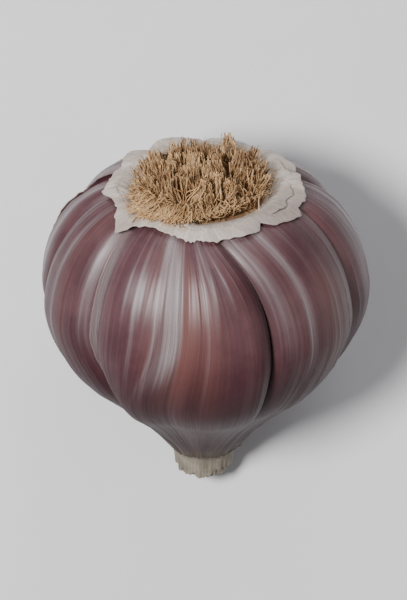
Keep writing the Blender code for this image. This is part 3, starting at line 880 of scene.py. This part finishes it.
def make_strands(name, roots, tips, bends, radii, tones, material, replaced):
    """Tapering round strands, each bent off its straight line, as one mesh."""
    steps, sides = STRAND_STEPS, STRAND_SIDES
    count = len(roots)
    t = np.linspace(0.0, 1.0, steps)[None, :, None]
    centres = roots[:, None] + (tips - roots)[:, None] * t
    centres = centres + bends[:, None] * (np.sin(t * math.pi) + 0.35 * np.sin(t * 2.0 * math.pi))
    travel = np.gradient(centres, axis=1)
    travel /= np.linalg.norm(travel, axis=2, keepdims=True)
    reference = np.array([0.31, 0.87, 0.38])
    side = np.cross(travel, reference)
    side /= np.linalg.norm(side, axis=2, keepdims=True)
    other = np.cross(travel, side)
    angle = np.linspace(0.0, 2.0 * math.pi, sides, endpoint=False)
    ring = side[:, :, None] * np.cos(angle)[None, None, :, None]
    ring = ring + other[:, :, None] * np.sin(angle)[None, None, :, None]
    thickness = radii[:, None] * (1.0 - STRAND_TAPER * np.linspace(0.0, 1.0, steps))[None, :]
    points = centres[:, :, None] + ring * thickness[:, :, None, None]
    per_strand = steps * sides
    faces = []
    for strand in range(count):
        start = strand * per_strand
        faces += grid_faces(steps, sides, closed=True, start=start)
        faces.append(tuple(start + i for i in range(sides))[::-1])
        faces.append(tuple(start + per_strand - sides + i for i in range(sides)))
    along = np.broadcast_to(np.linspace(0.0, 1.0, steps)[None, :, None], (count, steps, sides))
    tone = np.broadcast_to(tones[:, None, None], (count, steps, sides))
    fields = {"along": along, "tone": tone}
    make_piece(name, points, faces, material, replaced, fields)


TUFT_RADIUS = 8.5 * MM
ROOT_LEVEL = -16.9 * MM
ROOT_BED_RADIUS = 8.9 * MM
TUFT_CLUMPS = 120
TUFT_STRANDS = 2200
STOUT_SHARE = 0.09
RIM_STRANDS = 1300
COLLAR_SLOPE_START = 12.3 * MM


def make_tuft(chance, material):
    """Trimmed roots standing on the plate in matted clumps."""
    count = TUFT_STRANDS
    clump_x, clump_y = chance.uniform(-9.5, 9.5, (2, TUFT_CLUMPS)) * MM
    clump_lean = chance.normal(0.0, 0.6, (2, TUFT_CLUMPS)) * MM
    clump_length = chance.normal(0.0, 0.5, TUFT_CLUMPS)
    clump_tone = chance.normal(0.0, 0.2, TUFT_CLUMPS)
    spread = np.sqrt(chance.uniform(0.0, 1.0, count))
    turn = chance.uniform(-180.0, 180.0, count)
    spread = spread * (1.0 - 0.24 * bump_curve(turn, 38.0, 30.0))
    x, y = on_circle(TUFT_RADIUS * spread, turn)
    nearest = np.argmin((x[:, None] - clump_x) ** 2 + (y[:, None] - clump_y) ** 2, axis=1)
    length = 4.3 - 2.2 * spread ** 3 + clump_length[nearest] + chance.normal(0.0, 0.45, count)
    length = np.clip(length, 1.6, 4.1) * MM
    splay = 0.08 + 0.40 * spread ** 3
    outwards = 1.0 + splay * length / PLATE_RADIUS
    tip_x = x * outwards + clump_lean[0][nearest] + 0.45 * (clump_x[nearest] - x)
    tip_y = y * outwards + clump_lean[1][nearest] + 0.45 * (clump_y[nearest] - y)
    tip_x = tip_x + chance.normal(0.0, 0.25 * MM, count)
    tip_y = tip_y + chance.normal(0.0, 0.25 * MM, count)
    roots = to_world(x, y, -16.7 * MM)
    tips = to_world(tip_x, tip_y, ROOT_LEVEL - length * np.cos(splay))
    bends = chance.normal(0.0, 0.42 * MM, (count, 3))
    radii = chance.uniform(0.05, 0.125, count) * MM
    stout = chance.uniform(0.0, 1.0, count) < STOUT_SHARE
    radii = np.where(stout, 1.75 * radii, radii)
    # Strands on the upper side are painted a little lighter, as if lit from above; stout strands are
    # paler in their own colour.
    lit = 0.46 + 0.08 * y / PLATE_RADIUS + 0.42 * stout
    tones = np.clip(lit + clump_tone[nearest] + chance.normal(0.0, 0.16, count), 0.0, 1.0)
    make_strands("root_strands", roots, tips, bends, radii, tones, material, ["root_tuft"])


def make_rim_roots(chance, material):
    """Loose roots lying over the collar, most of them at its upper side."""
    count = RIM_STRANDS
    upper, anywhere = chance.normal(-30.0, 28.0, count), chance.uniform(-180.0, 180.0, count)
    turn = np.where(np.arange(count) % 4 > 0, upper, anywhere)
    front = bump_curve(turn, -34.0, 28.0)
    radius = chance.uniform(7.4, 9.2, count) * MM
    reach = chance.uniform(0.4, 2.0, count)
    reach = (reach + 5.6 * front * chance.uniform(0.0, 1.0, count) ** 0.6) * MM
    reach = reach * (1.0 - 0.8 * bump_curve(turn, 40.0, 26.0))
    roots = around_axis(radius, turn, ROOT_LEVEL)
    collar_edge = follow(OUTER, collar_reach(turn))[0]
    reach = np.minimum(reach, collar_edge - radius - chance.uniform(0.4, 1.6, count) * MM)
    over = np.maximum(radius + reach - COLLAR_SLOPE_START, 0.0)
    rest = (-17.95 - chance.uniform(0.0, 0.5, count)) * MM + 140.0 * over ** 2
    tips = around_axis(radius + reach, turn + chance.normal(0.0, 5.0, count), rest)
    away = np.array(BULB.to_3x3() @ Vector((0.0, 0.0, -1.0)))
    bends = chance.normal(0.0, 0.38 * MM, (count, 3))
    bends = bends + away * chance.uniform(0.1, 0.8, count)[:, None] * MM
    radii = chance.uniform(0.06, 0.13, count) * MM
    tones = np.clip(chance.normal(0.58, 0.22, count) + 0.22 * front, 0.0, 1.0)
    make_strands("rim_roots", roots, tips, bends, radii, tones, material, [])


def make_root_bed(material):
    """The rough fibrous floor between the roots."""
    columns, rows = 120, 30
    share, around = np.meshgrid(np.linspace(0.02, 1.0, rows), full_turn(columns), indexing="ij")
    radius = ROOT_BED_RADIUS * share
    x, y = on_circle(share, around)
    lumps = layered_noise(x * 9.0 + 30.0, y * 9.0 + 30.0, 61)
    height = (-17.35 - 0.5 * lumps + 0.5 * share ** 4) * MM
    points = around_axis(radius, around, height)
    faces = grid_faces(rows, columns, closed=True)
    piece = make_piece("root_bed", points, faces, material)
    thicken(piece, ROOT_BED_SHEET, 0.0)


# ---------------------------------------------------------------- neck
# Dried layers of the neck: name, side outline as radius and height in millimetres, seed,
# raggedness of the upper lip, and the node replaced.
NECK_LAYERS = (
    (
        "neck_layer_outer",
        ((5.3, 24.2), (5.15, 25.2), (4.7, 26.4), (4.35, 27.6), (4.15, 28.8), (4.05, 30.0)),
        81, 0.8, ["neck_sheath"],
    ),
    (
        "neck_layer_middle",
        ((4.9, 24.6), (4.6, 25.8), (4.2, 27.0), (3.9, 28.4), (3.75, 29.6), (3.75, 30.3)),
        85, 0.6, [],
    ),
    (
        "neck_layer_inner",
        ((4.5, 24.8), (4.1, 26.2), (3.7, 27.6), (3.5, 28.8), (3.42, 30.1), (3.45, 30.5)),
        89, 0.5, [],
    ),
)
STALK_OUTLINE = (
    (2.0, 20.8), (2.4, 22.5), (2.8, 25.5), (3.1, 27.4), (3.1, 30.5), (2.8, 30.9), (2.0, 30.8),
    (1.0, 30.5), (0.05, 30.4),
)


def make_neck_layer(name, profile, seed, raggedness, replaced, material):
    """One dried layer round the neck, from its flared skirt to a torn upper lip."""
    columns, rows = 260, 60
    share = np.linspace(0.0, 1.0, rows)
    radius, height = follow(np.array(profile) * MM, share)
    around = full_turn(columns)
    x, y = on_circle(4.0, around)
    lip = raggedness * (smooth_noise(x * 1.4 + 9.0, y * 1.4 + 9.0, seed) - 0.2) * MM
    hem = 0.4 * smooth_noise(x * 2.3 + 19.0, y * 2.3 + 19.0, seed + 1) * MM
    pleats = 0.13 * smooth_noise(x * 3.0 + 30.0, y * 3.0 + 30.0, seed + 2)
    pleats = pleats + 0.035 * smooth_noise(x * 9.0 + 40.0, y * 9.0 + 40.0, seed + 3)
    share = share[:, None]
    radius = radius[:, None] + pleats[None] * MM * (0.5 + share)
    height = height[:, None] + lip[None] * share ** 6 + hem[None] * (1.0 - share) ** 8
    around = np.broadcast_to(around, radius.shape)
    points = above_ground(around_axis(radius, around, height), NECK_REST)
    along = np.broadcast_to(share, radius.shape)
    edge = np.maximum(np.exp(-(1.0 - along) * 30.0), np.exp(-along * 30.0))
    fields = {"around": around, "along": along, "edge": edge}
    faces = grid_faces(rows, columns, closed=True)
    piece = make_piece(name, points, faces, material, replaced, fields)
    thicken(piece, NECK_SHEET, -1.0)


def make_stalk(material):
    """The cut stalk, slightly hollow at its face."""
    columns, rows = 96, 70
    radius, height = follow(np.array(STALK_OUTLINE) * MM, np.linspace(0.0, 1.0, rows))
    around = full_turn(columns)
    x, y = on_circle(3.0, around)
    flutes = 0.10 * smooth_noise(x * 3.0 + 9.0, y * 3.0 + 9.0, 71)
    radius = radius[:, None] * (1.0 + flutes[None] * 0.4)
    around = np.broadcast_to(around, radius.shape)
    grain = radius / MM * 0.4
    face_noise = 0.18 * layered_noise(x[None] * grain + 9.0, y[None] * grain + 9.0, 72)
    height = height[:, None] + face_noise * MM
    points = above_ground(around_axis(radius, around, height), STALK_REST)
    fields = {"around": around, "along": radius / STALK_RADIUS * 0.5}
    faces = grid_faces(rows, columns, closed=True)
    faces.append(tuple(range(columns)))
    faces.append(tuple((rows - 1) * columns + i for i in range(columns))[::-1])
    make_piece("neck_stalk_fine", points, faces, material, ["neck_stalk"], fields)


# ---------------------------------------------------------------- staging
FLOOR_HALF = 1.2
CAMERA_ELEVATION = 83.2
CAMERA_DISTANCE = 0.55
CAMERA_LENS = 226.0
# Soft lights: name, place from the bulb's middle, size and power.
LIGHTS = (
    ("key", (-0.155, -0.03, 0.36), 0.11, 2.5),
    ("top fill", (0.10, 0.34, 0.20), 0.30, 0.7),
    ("right fill", (0.36, -0.08, 0.18), 0.30, 0.25),
)
ROOM_TINT = (0.93, 0.94, 1.0, 1.0)
ROOM_STRENGTH = 0.15


def make_floor():
    mesh = bpy.data.meshes.new("floor")
    corners = [(x * FLOOR_HALF, y * FLOOR_HALF, 0.0) for x, y in ((-1, -1), (1, -1), (1, 1), (-1, 1))]
    mesh.from_pydata(corners, [], [(0, 1, 2, 3)])
    floor = bpy.data.objects.new("floor", mesh)
    bpy.context.scene.collection.objects.link(floor)
    material, nodes, shader = new_material("pale floor")
    place = nodes.add("ShaderNodeTexCoord").outputs["Object"]
    grain = nodes.noise(place, 90.0, 4.0, 0.6)
    pale = nodes.mix(grain, colour(218, 218, 220), colour(224, 224, 226))
    nodes.feed(shader.inputs["Base Color"], pale)
    shader.inputs["Roughness"].default_value = 0.8
    mesh.materials.append(material)


def add_soft_light(name, offset, size, power, target):
    light = bpy.data.lights.new(name, "AREA")
    light.shape = "DISK"
    light.size = size
    light.energy = power
    lamp = bpy.data.objects.new(name, light)
    lamp.location = target + Vector(offset)
    lamp.rotation_euler = (-Vector(offset)).to_track_quat("-Z", "Y").to_euler()
    bpy.context.scene.collection.objects.link(lamp)


def make_room():
    world = bpy.data.worlds.new("studio")
    world.use_nodes = True
    background = world.node_tree.nodes["Background"]
    background.inputs["Color"].default_value = ROOM_TINT
    background.inputs["Strength"].default_value = ROOM_STRENGTH
    bpy.context.scene.world = world


def make_camera(centre):
    """The camera looks almost straight down, with the root end up in the picture."""
    elevation = math.radians(CAMERA_ELEVATION)
    camera_data = bpy.data.cameras.new("camera")
    camera_data.sensor_width = 36.0
    camera_data.lens = CAMERA_LENS
    camera = bpy.data.objects.new("camera", camera_data)
    back = Vector((0.0, -math.cos(elevation), math.sin(elevation)))
    camera.location = centre + back * CAMERA_DISTANCE
    camera.rotation_mode = "QUATERNION"
    camera.rotation_quaternion = (-back).to_track_quat("-Z", "Y")
    bpy.context.scene.collection.objects.link(camera)
    bpy.context.scene.camera = camera


# ---------------------------------------------------------------- the whole bulb
def build():
    clove_skin, wrapper = clove_material(), wrapper_material()
    for number in range(len(CLOVES)):
        make_clove(number, clove_skin)
    for sheet in SKINS:
        make_skin(*sheet, wrapper)
    paper = collar_material()
    make_collar_layer("collar_outer", 1.0, 0.92, 101, paper, ["collar"])
    make_collar_layer("collar_inner", 0.66, 1.15, 111, paper, [])
    chance, roots = np.random.RandomState(77), root_material()
    make_tuft(chance, roots)
    make_rim_roots(chance, roots)
    cork = plate_material()
    make_root_bed(cork)
    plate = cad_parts["root_plate"].data
    plate.materials.clear()
    plate.materials.append(cork)
    neck_paper = neck_material()
    for layer in NECK_LAYERS:
        make_neck_layer(*layer, neck_paper)
    make_stalk(stalk_material())
    centre = BULB @ Vector((0.0, 0.0, 2.0 * MM))
    make_floor()
    make_room()
    for light in LIGHTS:
        add_soft_light(*light, centre)
    make_camera(centre)


build()
